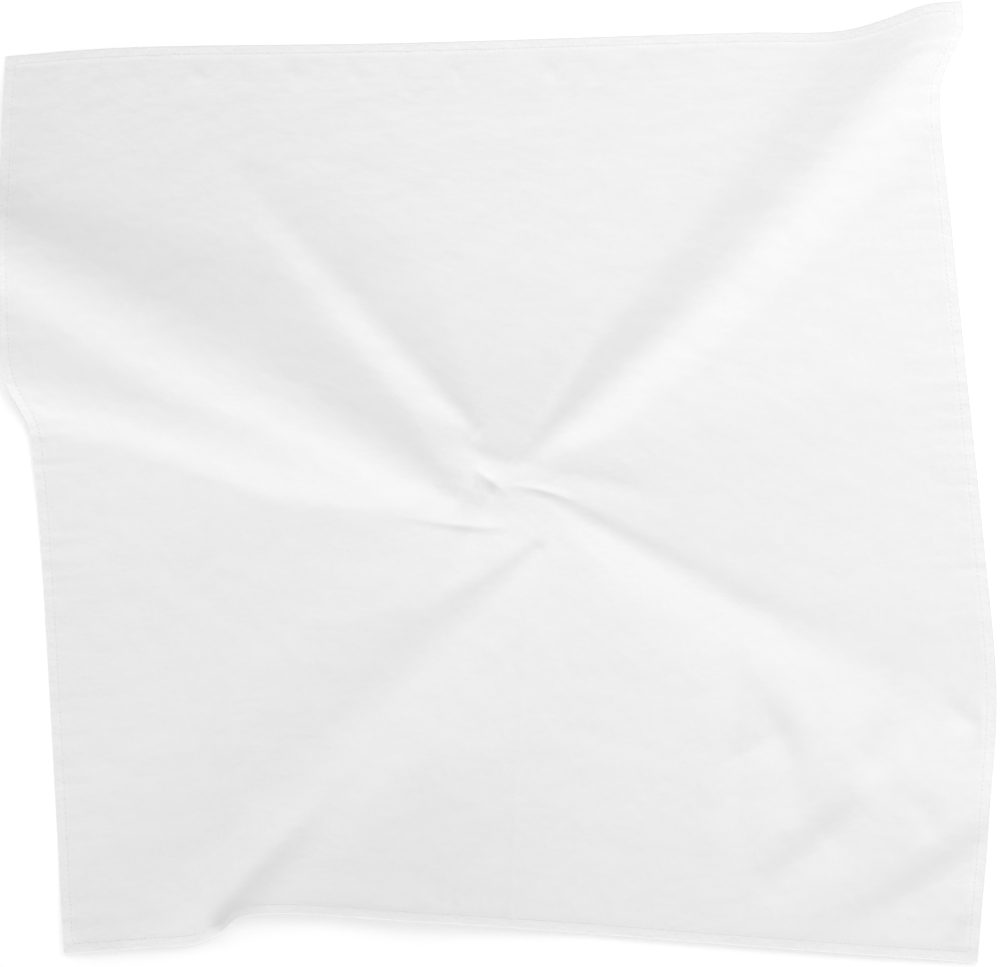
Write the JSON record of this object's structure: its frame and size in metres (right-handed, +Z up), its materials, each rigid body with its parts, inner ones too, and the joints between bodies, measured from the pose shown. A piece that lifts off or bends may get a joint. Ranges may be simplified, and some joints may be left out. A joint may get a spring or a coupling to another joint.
{
  "type": "bandana",
  "caption": "Square cotton bandana with a narrow turned hem, laid out flat with its centre pinched and soft folds running to its edges.",
  "frame": {"origin": "on the surface it lies on, below the middle of its box", "axes": "+Z up from the surface, +Y to the cloth's top edge, +X to its right edge"},
  "size_m": [0.5812, 0.559, 0.016],
  "materials": {
    "white_cotton": "plain woven cotton, white, dull"
  },
  "bodies": {
    "root": {"bandana": "white_cotton"}
  },
  "joints": []
}
